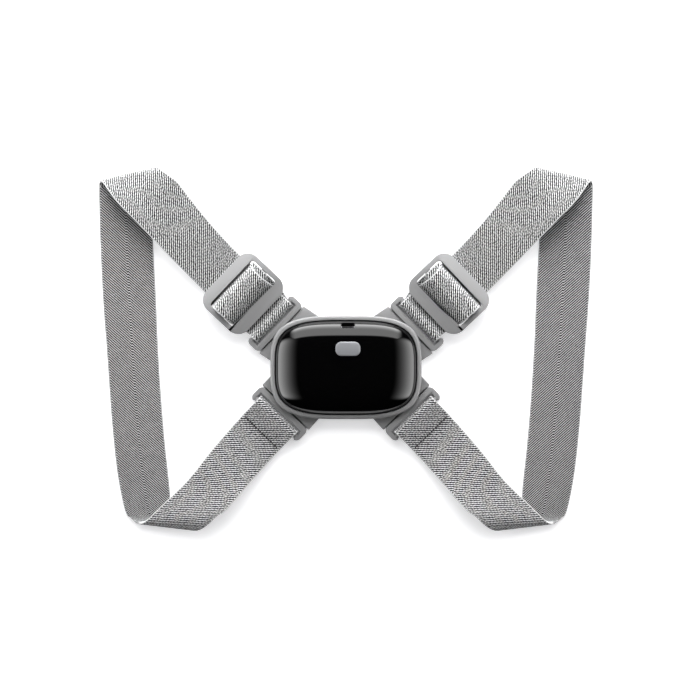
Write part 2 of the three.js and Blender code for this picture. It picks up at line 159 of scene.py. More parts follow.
class StrapSettings(bpy.types.PropertyGroup):
    """The elastic webbing and its course."""

    width: length("Width", 31.5, "Width of the webbing")
    thickness: length("Thickness", 1.6, "Thickness of the webbing")
    reach: length("Reach", 152.5, "From the centre to the loop's outermost edge")
    height: length("Loop height", 225, "From the lower bend to the upper one")
    tail: length("Tail", 20, "Sewn tail, from the lower slot")
    seam: length("Seam", 17.5, "Stitches, from the lower slot")
    sewn_shift: length("Sewn shift", 2.7, "Sewn end, sideways on the centre bar")
    wrap_reach: length("Wrap reach", 5.7, "Centre bar's middle to the turn's middle")
    hump_flare: length("Hump flare", 3, "Hump beyond the strap's left edge")
    hump_draw: length("Hump draw", 0.9, "Hump drawn in at the right edge")
    under_bar: length("Under bar", 4, "Strap's middle beneath the slider's long edges")
    edge: length("Edge", 0.45, "Rounding of the webbing's edges")
    rib_pitch: length("Rib pitch", 1.24, "Distance between the twill's ribs")
    back_pitch: length("Back rib pitch", 1.16, "Distance between the ribs on the back")
    spine: length("Spine", 0.2, "Half width of the strip of turned ribs on the back")
    float_length: length("Float length", 1.9, "Length of a yarn on the surface")
    light: colour("Light yarn", (0.546, 0.55, 0.552), "Crests of the ribs")
    # painted shade: the valleys between the ribs take this dark colour where the relief is low
    dark: colour("Painted valley shade", (0.008, 0.008, 0.0085), "Valleys between the ribs")


class StageSettings(bpy.types.PropertyGroup):
    """The floor, the lights and the camera."""

    camera_height: length("Camera height", 1200, "Camera above the table")
    camera_x: length("Camera x", 2.46, "Camera right of the part's centre")
    camera_y: length("Camera y", 10.7, "Camera above the part's centre, in the picture")
    picture_width: length("Picture width", 430.5, "What the picture shows of the table")
    floor_glow: FloatProperty(
        name="Floor glow", description="Light that the floor gives itself", default=0.55
    )
    floor_white: colour("Floor", (0.86, 0.86, 0.87), "Colour of the floor")
    # painted shade, laid on the floor where pieces stand close
    floor_shade: colour("Floor shade", (0.02, 0.02, 0.024), "Colour of the floor in deep gaps")
    contact: length("Contact", 8, "How far a piece darkens the floor beside it")


# Course of the strap. Lengths are shares of the sizes named above.

# along: share of the window's half width; rise: share of the way up to the wrap's upper layer
TAIL_ROWS = (
    dict(along=-0.7, rise=-0.25),
    dict(along=-0.5, rise=0.25),
    dict(along=-0.3, rise=0.8),
    dict(along=-0.11, rise=1),
)
# rise: share of the way from the table layer up to the wrap
LOWER_ROWS = (
    dict(along=-0.24, rise=0.94),
    dict(along=-0.58, rise=0.44),
    dict(along=-0.91, rise=0.06),
    dict(along=-1.35, rise=0),
)
# rise: share of the hump's height; flare, draw: shares of the hump's at the left and right edge
HUMP_ROWS = (
    dict(along=-1.69, rise=0, flare=0, draw=0),
    dict(along=-1.25, rise=0.04, flare=0.1, draw=0),
    dict(along=-0.97, rise=0.13, flare=0.45, draw=-0.2),
    dict(along=-0.6, rise=0.66, flare=0.95, draw=0.5),
    dict(along=-0.24, rise=0.98, flare=1, draw=1),
    dict(along=0.1, rise=1, flare=1, draw=1),
    dict(along=0.42, rise=1, flare=1, draw=0.8),
    dict(along=0.6, rise=0.88, flare=0.96, draw=0.3),
    dict(along=0.76, rise=0.55, flare=0.85, draw=-0.2),
    dict(along=0.86, rise=0.3, flare=0.7, draw=-0.5),
    dict(along=0.97, rise=0.13, flare=0.45, draw=-0.5),
    dict(along=1.25, rise=0.04, flare=0.1, draw=-0.2),
    dict(along=1.69, rise=0, flare=0, draw=0),
)
# Radius of the roll at each edge; as shares of it, the sideways travel and half the height
UPPER_BEND = dict(tight=3 * MM, wide=6 * MM, slide=0.72, lift=0.7)
LOWER_BEND = dict(tight=5 * MM, wide=8.6 * MM, slide=1.6, lift=0.45)
# x, y: middle of the strap as shares of reach and height; wide: share of the strap's width;
# turn: the way across, in degrees; left, right: height at each edge as a share of the bend's
TOP_RUN = (
    dict(x=-0.6212, y=0.3435, wide=1.02, turn=43.5, left=1.65, right=0.75),
    dict(x=-0.748, y=0.4425, wide=1.104, turn=42, left=2.15, right=0.95),
    dict(x=-0.7996, y=0.4794, wide=1.232, turn=18.7, left=1.9, right=1.05),
)
TOP_FOLD = dict(x=-0.877, y=0.525, wide=1.123, turn=13.1, crease=23.4)
SIDE_RUN = (
    dict(x=-0.8845, y=0.362, wide=1.03, turn=1),
    dict(x=-0.873, y=0.2, wide=1.035, turn=2),
    dict(x=-0.86, y=0.0475, wide=1, turn=3),
    dict(x=-0.837, y=-0.171, wide=0.99, turn=4),
    dict(x=-0.8145, y=-0.308, wide=0.976, turn=2),
)
BOTTOM_FOLD = dict(x=-0.718, y=-0.433, wide=1.1, turn=-6.6, crease=0)
BOTTOM_RUN = (
    dict(x=-0.609, y=-0.381, wide=1.18, turn=-7.6, left=1, right=1),
    dict(x=-0.536, y=-0.331, wide=1.03, turn=-18.8, left=0.9, right=0.85),
    dict(x=-0.467, y=-0.273, wide=0.985, turn=-43.6, left=0.75, right=0.6),
)

# Arms: where the axis and the two edges leave the rim and the way the arm points, in degrees,
# and the length from the rim to the slot
ARMS = dict(
    upper=dict(root=149.5, heading=136.5, edges=(116, 176), side=1, length=3 * MM),
    lower=dict(root=213.8, heading=226, edges=(185, 243), side=-1, length=2.5 * MM),
)

PLAN_POWER = 3.4  # how square the pod's outline is
DOME_POWER = 3.4  # how flat the dome's top is

# Fineness of the round shapes
OUTLINE_STEPS = 160
DOME_STEPS = 40
DOME_END = 0.03  # how near its middle the dome's last ring lies, in radians
RIM_STEPS = 8
TURN_STEPS = 8
SLIDER_SLICES = 25
STRAP_COLUMNS = 16
STRAP_STEPS = 5
SEAM_STEPS = 24  # finer, only to find the places of the stitches

# Sockets of a Mix node that mixes colours
MIX_LOW, MIX_HIGH, MIX_RESULT = 6, 7, 2


# Mesh helpers


def deselect():
    """Leaves nothing selected."""
    bpy.ops.object.select_all(action="DESELECT")


def select_only(piece):
    """Makes a piece the one that operators act on."""
    deselect()
    piece.select_set(True)
    bpy.context.view_layer.objects.active = piece


def apply_place(piece):
    """Puts the object's place into its mesh."""
    select_only(piece)
    bpy.ops.object.transform_apply(location=True, rotation=True, scale=True)


def add_modifier(piece, kind, **settings):
    """Adds a modifier and applies it."""
    select_only(piece)
    modifier = piece.modifiers.new(kind.lower(), kind)
    for name, value in settings.items():
        setattr(modifier, name, value)
    bpy.ops.object.modifier_apply(modifier=modifier.name)


def round_edges(piece, width, segments=3, angle=40):
    """Rounds the edges that are sharper than an angle."""
    add_modifier(
        piece,
        "BEVEL",
        width=width,
        segments=segments,
        limit_method="ANGLE",
        angle_limit=math.radians(angle),
        use_clamp_overlap=True,
    )


def cut(piece, tool):
    """Cuts a tool out of a piece and removes the tool."""
    add_modifier(piece, "BOOLEAN", operation="DIFFERENCE", solver="EXACT", object=tool)
    bpy.data.objects.remove(tool)


def join(pieces):
    """Joins pieces into the first one."""
    select_only(pieces[0])
    for piece in pieces:
        piece.select_set(True)
    bpy.ops.object.join()
    return pieces[0]


def smooth(piece, angle=35):
    """Smooth shading with sharp edges kept."""
    select_only(piece)
    bpy.ops.object.shade_smooth_by_angle(angle=math.radians(angle))


def block(size, centre):
    """A box of a size about a centre."""
    deselect()
    bpy.ops.mesh.primitive_cube_add(size=1, location=centre)
    box = bpy.context.active_object
    box.scale = size
    apply_place(box)
    return box


def round_corners(piece, radius, segments=8):
    """Rounds the upright edges of a box."""
    mesh = piece.data
    for edge in mesh.edges:
        one, other = (mesh.vertices[i].co for i in edge.vertices)
        edge.select = (one.xy - other.xy).length < radius * 1e-3
    for face in mesh.polygons:
        face.select = False
    for vertex in mesh.vertices:
        vertex.select = False
    select_only(piece)
    bpy.ops.object.mode_set(mode="EDIT")
    bpy.ops.mesh.select_mode(type="EDGE")
    bpy.ops.mesh.bevel(offset=radius, segments=segments)
    bpy.ops.object.mode_set(mode="OBJECT")


def on_oval(half_x, half_y, angles):
    """Points of the pod's outline, a squared oval, in directions from its centre."""
    across, up = np.cos(angles), np.sin(angles)
    power = PLAN_POWER
    reach = ((abs(across) / half_x) ** power + (abs(up) / half_y) ** power) ** (-1 / power)
    return np.column_stack((across * reach, up * reach))


def flat_shape(corners, height):
    """A single flat face with the given corners."""
    deselect()
    bpy.ops.mesh.primitive_circle_add(vertices=len(corners), radius=1, fill_type="NGON")
    shape = bpy.context.active_object
    for vertex, (x, y) in zip(shape.data.vertices, corners):
        vertex.co = (x, y, height)
    return shape


def close_shape():
    """Turns the faces of the mesh in edit mode outwards and leaves edit mode."""
    bpy.ops.mesh.select_all(action="SELECT")
    bpy.ops.mesh.normals_make_consistent(inside=False)
    bpy.ops.object.mode_set(mode="OBJECT")


def oval_stack(rings):
    """A closed piece of oval rings, each (half length, half width, height), extruded in turn."""
    half_x, half_y, height = rings[0]
    angles = np.arange(OUTLINE_STEPS) * 2 * np.pi / OUTLINE_STEPS
    piece = flat_shape(on_oval(half_x, half_y, angles), height)
    bpy.ops.object.mode_set(mode="EDIT")
    bpy.ops.mesh.select_all(action="SELECT")
    for (old_x, old_y, old_z), (new_x, new_y, new_z) in zip(rings, rings[1:]):
        bpy.ops.mesh.extrude_region_move(
            TRANSFORM_OT_translate={"value": (0, 0, new_z - old_z)}
        )
        bpy.ops.transform.resize(
            value=(new_x / old_x, new_y / old_y, 1), center_override=(0, 0, 0)
        )
    close_shape()
    return piece


def quarter_turn(steps):
    """Sine and cosine pairs of a quarter turn, from its start to its end."""
    angles = np.linspace(0, math.pi / 2, steps + 1)
    return list(zip(np.sin(angles), np.cos(angles)))


def finish_piece(piece, name, body, material, slot, *nodes):
    """Names a piece, gives it a material, if named, ties it to its body and hides the CAD parts
    it replaces.
    """
    piece.name = name
    piece.data.name = name
    if material:
        piece.data.materials.clear()
        piece.data.materials.append(material)
    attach(piece, body)
    if nodes:
        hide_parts(*nodes)
    return piece


def mirrored_copy(piece):
    """A copy of a piece with its own mesh, on the other side of the part."""
    copy = piece.copy()
    copy.data = piece.data.copy()
    bpy.context.collection.objects.link(copy)
    copy.data.transform(Matrix.Scale(-1, 4, Vector((1, 0, 0))))
    copy.data.flip_normals()
    return copy


# Places on the table


class Place:
    """A point on the table with a heading.

    Its side is 1 where the strap's left edge lies on the left of the heading, and -1 elsewhere.
    """

    def __init__(self, x, y, heading, side):
        self.x, self.y, self.heading, self.side = x, y, heading, side
        self.forward = np.array((math.cos(heading), math.sin(heading), 0))
        self.sideways = side * np.array((-math.sin(heading), math.cos(heading), 0))

    def further(self, distance):
        """The place some way along the heading."""
        x, y = np.array((self.x, self.y)) + distance * self.forward[:2]
        return Place(x, y, self.heading, self.side)

    def row(self, along, height, left, right):
        """The strap's left and right edge points some way along."""
        centre = np.array((self.x, self.y, height)) + along * self.forward
        return centre + left * self.sideways, centre - right * self.sideways

    def matrix(self):
        """Turns a mesh modelled along +X to the heading and puts it here."""
        return Matrix.Translation((self.x, self.y, 0)) @ Matrix.Rotation(self.heading, 4, "Z")


def rim_halves(sizes, growth=0.0):
    """Half length and half width of the frame's outer rim."""
    spare = sizes.clearance + sizes.rim_wall + growth
    return POD_HIGH.x + spare, POD_HIGH.y + spare


def rim_point(sizes, degrees, growth=0.0):
    """The point of the rim's outline in a direction from the centre."""
    return on_oval(*rim_halves(sizes, growth), np.radians([degrees]))[0]


def slot_place(sizes, arm):
    """Where a left arm's slot starts."""
    heading = math.radians(arm["heading"])
    x, y = rim_point(sizes, arm["root"])
    x += arm["length"] * math.cos(heading)
    y += arm["length"] * math.sin(heading)
    return Place(x, y, heading, arm["side"])


# Strap course


class Course:
    """The rows of left and right edge points that the left strap follows."""

    def __init__(self, scene):
        self.strap = scene.corrector_strap
        self.slider = scene.corrector_slider
        self.frame = scene.corrector_frame
        self.upper = slot_place(self.frame, ARMS["upper"])
        self.lower = slot_place(self.frame, ARMS["lower"])
        self.adjuster = self.upper.further(self.slider.distance)
        self.half_width = self.strap.width / 2
        self.half_thickness = self.strap.thickness / 2
        self.table_layer = self.frame.clearance + self.half_thickness
        self.bar_radius = self.frame.bar_diameter / 2
        self.bar_along = self.frame.slot_width + self.bar_radius
        self.bar_level = self.frame.lip_height - self.bar_radius
        self.turn_radius = self.bar_radius + self.table_layer
        slider = self.slider
        self.bar_middle = (
            slider.underside + slider.rise + slider.thickness / 2 - slider.centre_drop
        )
        self.wrap_radius = slider.centre_thickness / 2 + self.table_layer
        self.half_window = slider.window_width / 2

    def turn(self, place, along, level, radius, start, end, shift=0.0):
        """Rows round a bar, between two angles with 0 degrees outward."""
        rows = []
        for angle in np.radians(np.linspace(start, end, TURN_STEPS + 1)):
            out = along + radius * math.cos(angle)
            height = level + radius * math.sin(angle)
            rows.append(
                place.row(out, height, self.half_width - shift, self.half_width + shift)
            )
        return rows

    def sewn_end(self):
        """Rows of the end that is sewn round the centre bar."""
        low = self.bar_middle - self.wrap_radius
        high = self.bar_middle + self.wrap_radius
        shift = self.strap.sewn_shift
        edges = (self.half_width - shift, self.half_width + shift)
        wrap = (self.strap.wrap_reach, self.bar_middle, self.wrap_radius)

        def span(row, bottom, top):
            along = row["along"] * self.half_window
            return self.adjuster.row(along, bottom + row["rise"] * (top - bottom), *edges)

        return [
            *(span(row, low, high) for row in TAIL_ROWS),
            *self.turn(self.adjuster, *wrap, 90, -90, shift),
            *(span(row, self.table_layer, low) for row in LOWER_ROWS),
        ]

    def hump(self):
        """Rows of the hump over the centre bar."""
        top = self.bar_middle + self.wrap_radius + 2 * self.half_thickness
        top += self.frame.clearance
        low = self.strap.under_bar
        return [
            self.adjuster.row(
                row["along"] * self.half_window,
                low + row["rise"] * (top - low),
                self.half_width + row["flare"] * self.strap.hump_flare,
                self.half_width - row["draw"] * self.strap.hump_draw,
            )
            for row in HUMP_ROWS
        ]

    def free_row(self, row, left=0.0, right=0.0):
        """A row of the free run, with each edge at its own height."""
        angle = math.radians(row["turn"])
        half = row["wide"] * self.half_width
        across = half * np.array((math.cos(angle), math.sin(angle), 0))
        centre = np.array(
            (row["x"] * self.strap.reach, row["y"] * self.strap.height, self.half_thickness)
        )
        lift = np.array((0, 0, 1))
        return centre - across + left * lift, centre + across + right * lift

    def raised(self, rows, bend):
        """Rows of the free run whose heights follow a bend."""
        tight, wide = (2 * bend["lift"] * bend[edge] for edge in ("tight", "wide"))
        return [self.free_row(r, tight * r["left"], wide * r["right"]) for r in rows]

    def roll(self, fold, bend, outward, start, end):
        """A turn that rolls the strap over along a crease; its crest is at 0 degrees."""
        crease = math.radians(fold["crease"])
        away = math.radians(fold["crease"] + outward)
        along = np.array((math.cos(crease), math.sin(crease), 0))
        out = np.array((math.cos(away), math.sin(away), 0))
        up = np.array((0, 0, 1))

        def edge(point, radius, angle):
            travel = bend["slide"] * radius * angle / (math.pi / 2)
            rolled = radius * (math.cos(angle) - 1) * out + travel * along
            return point + rolled + bend["lift"] * radius * (1 + math.sin(angle)) * up

        left, right = self.free_row(fold)
        into_crest = np.linspace(start, 0, TURN_STEPS // 2 + 1)
        from_crest = np.linspace(0, end, TURN_STEPS // 2 + 1)
        return [
            (edge(left, bend["tight"], angle), edge(right, bend["wide"], angle))
            for angle in np.radians((*into_crest, *from_crest[1:]))
        ]

    def lower_end(self):
        """Rows round the lower slot's bar, and the tail sewn beneath."""
        width = (self.half_width, self.half_width)
        landing = self.table_layer + self.strap.thickness + self.frame.clearance
        halfway = (self.strap.tail + self.bar_along) / 2
        crown = self.bar_level + self.turn_radius
        return [
            self.lower.row(self.strap.tail, landing, *width),
            self.lower.row(halfway, (landing + crown) / 2, *width),
            *self.turn(
                self.lower, self.bar_along, self.bar_level, self.turn_radius, 90, 270
            ),
            self.lower.row(halfway, self.table_layer, *width),
            self.lower.row(self.strap.tail, self.table_layer, *width),
        ]

    def runs(self):
        """The rows of each stretch, by name and in order."""
        bar = (self.bar_along, self.bar_level, self.turn_radius)
        return dict(
            sewn=self.sewn_end(),
            upper_slot=self.turn(self.upper, *bar, 270, 80),
            hump=self.hump(),
            top=self.raised(TOP_RUN, UPPER_BEND),
            top_fold=self.roll(TOP_FOLD, UPPER_BEND, 90, 60, -90),
            side=[self.free_row(row) for row in SIDE_RUN],
            bottom_fold=self.roll(BOTTOM_FOLD, LOWER_BEND, -90, -90, 90),
            bottom=self.raised(BOTTOM_RUN, LOWER_BEND),
            lower_slot=self.lower_end(),
        )

    def edges(self, steps):
        """Smooth left and right edges, with some steps between two rows."""
        rows = [row for run in self.runs().values() for row in run]
        curves = [smooth_curve(np.array(points), steps) for points in zip(*rows)]
        for curve in curves:
            curve[:, 2] = np.maximum(curve[:, 2], self.half_thickness)
        return curves

    def middle_rows(self, steps):
        """The number of the row in the middle of each stretch."""
        middles, start = {}, 0
        for name, rows in self.runs().items():
            middles[name] = round((start + (len(rows) - 1) / 2) * steps)
            start += len(rows)
        return middles


def smooth_curve(points, steps):
    """A centripetal curve through the points, with some steps to each stretch."""
    first = 2 * points[0] - points[1]
    last = 2 * points[-1] - points[-2]
    points = np.vstack((first, points, last))
    share = np.arange(steps)[:, None] / steps
    samples = []
    for a, b, c, d in zip(points, points[1:], points[2:], points[3:]):
        ab, bc, cd = (np.linalg.norm(q - p) ** 0.5 for p, q in ((a, b), (b, c), (c, d)))
        leave = (c - b) + bc * ((b - a) / ab - (c - a) / (ab + bc))
        arrive = (c - b) + bc * ((d - c) / cd - (d - b) / (bc + cd))
        square = 3 * (c - b) - 2 * leave - arrive
        cube = 2 * (b - c) + leave + arrive
        samples.append(b + share * (leave + share * (square + share * cube)))
    samples.append(points[-2][None])
    return np.vstack(samples)


# Materials


class Graph:
    """Adds nodes to a tree and links them."""

    def __init__(self, tree):
        self.tree = tree

    def add(self, kind, inputs=(), **settings):
        """A node with its settings and its inputs, each a value or another node's output."""
        node = self.tree.nodes.new(kind)
        for name, value in settings.items():
            setattr(node, name, value)
        for key, value in dict(inputs).items():
            self.feed(node.inputs[key], value)
        return node

    def feed(self, socket, value):
        """Links an output to a socket, or sets its value."""
        if isinstance(value, bpy.types.NodeSocket):
            self.tree.links.new(value, socket)
        else:
            socket.default_value = value

    def math(self, operation, *values):
        """The output of a Math node."""
        return self.add("ShaderNodeMath", enumerate(values), operation=operation).outputs[0]

    def plus(self, one, other):
        """The sum of two values."""
        return self.math("ADD", one, other)

    def minus(self, one, other):
        """One value less another."""
        return self.math("SUBTRACT", one, other)

    def times(self, one, other):
        """The product of two values."""
        return self.math("MULTIPLY", one, other)

    def within(self, value, low, high):
        """A value kept between two others."""
        return self.math("MINIMUM", self.math("MAXIMUM", value, low), high)

    def wave(self, turns):
        """A wave between 0 and 1, with 1 at each whole number."""
        swing = self.math("COSINE", self.times(turns, 2 * math.pi))
        return self.plus(self.times(swing, 0.5), 0.5)

    def mix(self, factor, low, high):
        """A colour between two colours."""
        inputs = {"Factor": factor, MIX_LOW: low, MIX_HIGH: high}
        return self.add("ShaderNodeMix", inputs, data_type="RGBA").outputs[MIX_RESULT]

    def ramp(self, value, start, end):
        """0 below a start, 1 above an end and smooth between."""
        inputs = {"Value": value, "From Min": start, "From Max": end}
        node = self.add("ShaderNodeMapRange", inputs, interpolation_type="SMOOTHSTEP")
        return node.outputs["Result"]

    def noise(self, coordinates, scale, detail=2.0):
        """The value of a noise texture."""
        inputs = {"Vector": coordinates, "Scale": scale, "Detail": detail}
        return self.add("ShaderNodeTexNoise", inputs).outputs["Fac"]

    def place(self, x, y):
        """A place from two coordinates."""
        return self.add("ShaderNodeCombineXYZ", {"X": x, "Y": y}).outputs["Vector"]

    def object_place(self):
        """Object coordinates."""
        return self.add("ShaderNodeTexCoord").outputs["Object"]

    def group(self, tree, **inputs):
        """A node group with its inputs."""
        node = self.tree.nodes.new("ShaderNodeGroup")
        node.node_tree = tree
        for name, value in inputs.items():
            self.feed(node.inputs[name.replace("_", " ")], value)
        return node


def rgba(values):
    """A colour with full alpha."""
    return (*values, 1.0)


def shaded(values, share):
    """A colour made darker or paler."""
    return tuple(share * value for value in values)


def new_material(name, **inputs):
    """A material, its graph and its Principled shader with the values set on it."""
    material = bpy.data.materials.new(name)
    material.use_nodes = True
    shader = material.node_tree.nodes["Principled BSDF"]
    for key, value in inputs.items():
        shader.inputs[key.replace("_", " ")].default_value = value
    return material, Graph(material.node_tree), shader


def new_group(name, inputs, outputs):
    """A shader node group, its graph, and the sockets at its start and end."""
    tree = bpy.data.node_groups.new(name, "ShaderNodeTree")
    for key, value in inputs.items():
        socket = tree.interface.new_socket(key, in_out="INPUT", socket_type="NodeSocketFloat")
        socket.default_value = value
    for key, kind in outputs.items():
        tree.interface.new_socket(key, in_out="OUTPUT", socket_type=kind)
    graph = Graph(tree)
    start = graph.add("NodeGroupInput")
    end = graph.add("NodeGroupOutput")
    return tree, graph, start.outputs, end.inputs


def dress(graph, shader, tint, height, strength, distance):
    """Gives a material its colour and its relief."""
    inputs = {"Strength": strength, "Distance": distance, "Height": height}
    relief = graph.add("ShaderNodeBump", inputs)
    graph.feed(shader.inputs["Base Color"], tint)
    graph.feed(shader.inputs["Normal"], relief.outputs["Normal"])


# The clouded colour of moulded pieces, as shares of their plain colour
DARKEST = 0.88
PALEST = 1.1


def moulded_grain():
    """The fine grain and faint cloudiness of moulded plastic and rubber."""
    name = "moulded grain"
    if name in bpy.data.node_groups:
        return bpy.data.node_groups[name]
    tree, graph, given, result = new_group(
        name,
        {"Grain": 2500.0, "Clouds": 60.0},
        {"Height": "NodeSocketFloat", "Tone": "NodeSocketFloat"},
    )
    place = graph.object_place()
    grain = graph.noise(place, given["Grain"], 3.0)
    clouds = graph.noise(place, given["Clouds"], 2.0)
    graph.feed(result["Height"], grain)
    graph.feed(result["Tone"], graph.plus(graph.times(clouds, 0.7), 0.65))
    return tree


def moulded_material(name, grey, roughness, bump):
    """Satin moulded plastic or rubber with a fine grain."""
    material, graph, shader = new_material(name, Roughness=roughness)
    effect = graph.group(moulded_grain())
    dark = rgba(shaded(grey, DARKEST))
    light = rgba(shaded(grey, PALEST))
    tint = graph.mix(effect.outputs["Tone"], dark, light)
    dress(graph, shader, tint, effect.outputs["Height"], 0.6, bump)
    return material


# Weave: noise scales are features in a metre, or in a float or a rib where the place is in those
WANDER_SCALE = 260.0
TONE_SCALE = 160.0
RIB_SCALE = 1.3
PEBBLE_SCALE = 1.6
PEBBLE_HEIGHT = 1.1  # as a share of the dashes' depth
RIB_SPREAD = 5.3  # how far apart the noise of two neighbouring ribs lies
OWN_STAGGER = 1.2  # how far the noise moves a rib's floats
PLAIN_EDGE = 0.3 * MM  # the selvedge's plain outer part
UNEVENNESS = 2.2  # how far the ribs stray, for each unit of the dashes' depth
CREST = 0.87  # the height from which on a rib is fully pale
# Paleness of the plain selvedge, as a share of the pale yarn; on the strap's cut edges it is a
# painted highlight
SELVEDGE_AND_EDGE_HIGHLIGHT = 0.7
DIM_SHADE = 0.9


def twill_group():
    """Twill ribs on a strap's own UV map, in metres: across in x and along the strap in y."""
    name = "twill"
    if name in bpy.data.node_groups:
        return bpy.data.node_groups[name]
    inputs = {
        "Width": 0.03,
        "Pitch": 0.001,
        "Float": 0.002,
        "Dashes": 0.5,
        "Wander": 0.3,
        "Uneven": 1.2,
        "Selvedge": 0.0009,
        "Spine": 0.0,
    }
    outputs = {"Height": "NodeSocketFloat", "Edge": "NodeSocketFloat", "Tone": "NodeSocketFloat"}
    tree, graph, given, result = new_group(name, inputs, outputs)
    uv = graph.add("ShaderNodeUVMap", uv_map="UVMap").outputs["UV"]
    place = graph.add("ShaderNodeSeparateXYZ", {"Vector": uv}).outputs
    across, along = place["X"], place["Y"]

    # The ribs turn back at the selvedges and along the spine in the middle
    far_edge = graph.minus(given["Width"], given["Selvedge"])
    inside = graph.within(across, given["Selvedge"], far_edge)
    middle = graph.times(given["Width"], 0.5)
    spine_start = graph.minus(middle, given["Spine"])
    spine_end = graph.plus(middle, given["Spine"])
    spine = graph.within(across, spine_start, spine_end)
    turned = graph.minus(graph.times(graph.minus(inside, spine), 2.0), across)
    wander = graph.minus(graph.noise(uv, WANDER_SCALE), 0.5)
    wander = graph.times(graph.times(wander, given["Pitch"]), given["Wander"])
    turned = graph.plus(turned, wander)

    # Ribs run at 45 degrees; each is a row of floats with its own stagger
    diagonal = math.sqrt(0.5)
    phase = graph.times(graph.minus(turned, along), diagonal)
    phase = graph.math("DIVIDE", phase, given["Pitch"])
    reach = graph.times(graph.plus(turned, along), diagonal)
    reach = graph.math("DIVIDE", reach, given["Float"])
    number = graph.math("FLOOR", phase)
    stagger = graph.add("ShaderNodeTexWhiteNoise", {"W": number}, noise_dimensions="1D")
    own_noise = graph.noise(graph.place(graph.times(number, RIB_SPREAD), reach), RIB_SCALE, 1.0)
    own_shift = graph.times(graph.minus(own_noise, 0.5), given["Uneven"])
    stagger = graph.plus(stagger.outputs["Value"], graph.times(own_noise, OWN_STAGGER))
    rib = graph.wave(graph.minus(graph.plus(phase, own_shift), 0.5))
    dash = graph.wave(graph.plus(reach, stagger))
    gap = graph.times(graph.minus(1.0, dash), given["Dashes"])
    height = graph.times(rib, graph.minus(1.0, gap))
    pebbles = graph.minus(graph.noise(graph.place(phase, reach), PEBBLE_SCALE, 1.0), 0.5)
    pebbles = graph.times(pebbles, graph.times(given["Dashes"], PEBBLE_HEIGHT))
    graph.feed(result["Height"], graph.plus(height, pebbles))
    # Edge: the plain selvedge, and the strap's cut edges, whose paleness there is a painted
    # highlight
    from_edge = graph.math("MINIMUM", across, graph.minus(given["Width"], across))
    edge = graph.minus(1.0, graph.ramp(from_edge, PLAIN_EDGE, given["Selvedge"]))
    graph.feed(result["Edge"], edge)
    graph.feed(result["Tone"], graph.noise(uv, TONE_SCALE))
    return tree


def webbing_material(name, strap, pitch, dashes, spine, shade, valley):
    """Grey elastic webbing: pale ribs with painted shade in the valleys; pale edges, partly a
    painted highlight.
    """
    values = dict(Roughness=0.85, Sheen_Weight=0.1, Sheen_Roughness=0.5)
    material, graph, shader = new_material(name, **values)
    effect = graph.group(
        twill_group(),
        Width=strap.width,
        Pitch=pitch,
        Float=strap.float_length,
        Dashes=dashes,
        Uneven=UNEVENNESS * dashes,
        Spine=spine,
    )
    height = effect.outputs["Height"]
    # shade: how pale this side's yarn is; a larger share on the face is partly painted light
    light = shaded(strap.light, shade)
    # Painted shade: the colour darkens from each rib's crest down into the valleys, following the
    # relief
    tint = graph.mix(graph.ramp(height, valley, CREST), rgba(strap.dark), rgba(light))
    # Pale selvedge: the plain weave at the edges, and a painted highlight on the strap's cut
    # edges
    tint = graph.mix(effect.outputs["Edge"], tint, rgba(shaded(light, SELVEDGE_AND_EDGE_HIGHLIGHT)))
    clouds = graph.ramp(effect.outputs["Tone"], 0.3, 0.7)
    dimmer = graph.add("ShaderNodeHueSaturation", {"Color": tint, "Value": DIM_SHADE})
    dim = dimmer.outputs["Color"]
    tint = graph.mix(clouds, dim, tint)
    dress(graph, shader, tint, height, 0.35, 0.2 * MM)
    return material


def thread_material():
    """Dark sewing thread with a twist."""
    material, graph, shader = new_material("thread", Roughness=0.7)
    wave = graph.add(
        "ShaderNodeTexWave",
        {"Vector": graph.object_place(), "Scale": 900.0, "Distortion": 1.0},
        bands_direction="DIAGONAL",
    ).outputs["Fac"]
    tint = graph.mix(wave, (0.008, 0.008, 0.009, 1), (0.03, 0.03, 0.032, 1))
    graph.feed(shader.inputs["Base Color"], tint)
    return material


def pod_material(settings):
    """Polished black plastic with the faintest moulding waves."""
    material, graph, shader = new_material("polished black", Roughness=0.06, IOR=1.5)
    place = graph.object_place()
    specks = graph.ramp(graph.noise(place, 1800.0, 2.0), 0.68, 0.8)
    haze = graph.plus(graph.times(specks, 0.05), 0.05)
    tint = graph.mix(specks, rgba(settings.black), (0.012, 0.012, 0.012, 1))
    graph.feed(shader.inputs["Roughness"], haze)
    dress(graph, shader, tint, graph.noise(place, 70.0, 1.0), 0.05, 0.1 * MM)
    return material


def steel_material():
    """Plain plated steel with a brushed look."""
    material, graph, shader = new_material("plated steel", Metallic=1.0)
    stretch = graph.add(
        "ShaderNodeMapping", {"Vector": graph.object_place(), "Scale": (400, 4000, 400)}
    ).outputs["Vector"]
    brushed = graph.noise(stretch, 1.0, 2.0)
    graph.feed(shader.inputs["Roughness"], graph.ramp(brushed, -0.6, 2.4))
    tint = graph.mix(brushed, (0.3, 0.3, 0.31, 1), (0.5, 0.5, 0.52, 1))
    graph.feed(shader.inputs["Base Color"], tint)
    return material


# Pieces


def centre_and_size(low, high):
    """Middle and extent of a box."""
    return (low + high) / 2, high - low


